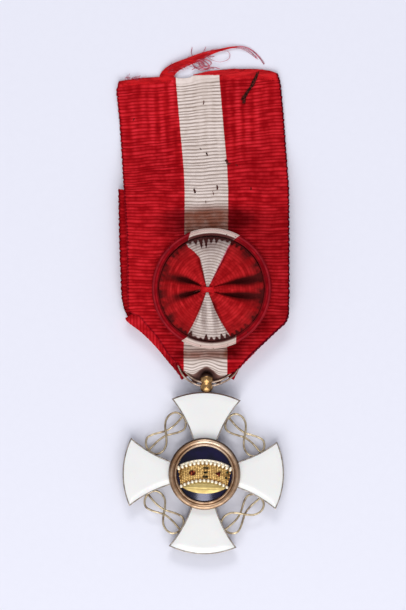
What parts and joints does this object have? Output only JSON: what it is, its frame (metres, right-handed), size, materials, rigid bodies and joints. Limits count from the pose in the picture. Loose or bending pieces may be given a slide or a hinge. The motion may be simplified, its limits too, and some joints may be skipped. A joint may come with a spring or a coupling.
{
  "type": "officers cross",
  "caption": "Officer's cross: white enamel arms, gold wire knots and a jewelled crown on blue enamel, hung by a ring from a folded striped silk ribbon with a rosette.",
  "frame": {"origin": "middle of the footprint, on the surface that the cross and its ribbon lie on", "axes": "+Y from the cross towards the ribbon's cut end, +X across the ribbon to the wearer's left side of it as seen from the front, +Z out of the front"},
  "size_m": [0.038, 0.1114, 0.0062],
  "materials": {
    "ribbon_silk": "ribbed silk, crimson with a white stripe down the middle, worn",
    "rosette_silk": "gathered ribbed silk, crimson and white",
    "ring_metal": "dull gilt wire",
    "gold": "satin gold",
    "white_enamel": "glossy",
    "rose_gold": "satin rose gold",
    "blue_enamel": "glossy, see-through blue",
    "crown_gold": "bright gold, grained",
    "garnet": "polished",
    "dark_stone": "polished",
    "green_stone": "polished"
  },
  "bodies": {
    "root": {"ribbon": "ribbon_silk", "rosette_rim": "rosette_silk", "rosette_petals": "rosette_silk", "suspension_ring": "ring_metal", "cross_frame": "gold", "enamel_right": "white_enamel", "enamel_top": "white_enamel", "enamel_left": "white_enamel", "enamel_bottom": "white_enamel", "bezel": "rose_gold", "medallion": "blue_enamel", "crown": "crown_gold", "garnet_round": "garnet", "garnet_three_sided": "garnet", "dark_stone_1": "dark_stone", "dark_stone_2": "dark_stone", "dark_stone_3": "dark_stone", "green_stone_1": "green_stone", "green_stone_2": "green_stone"}
  },
  "joints": []
}
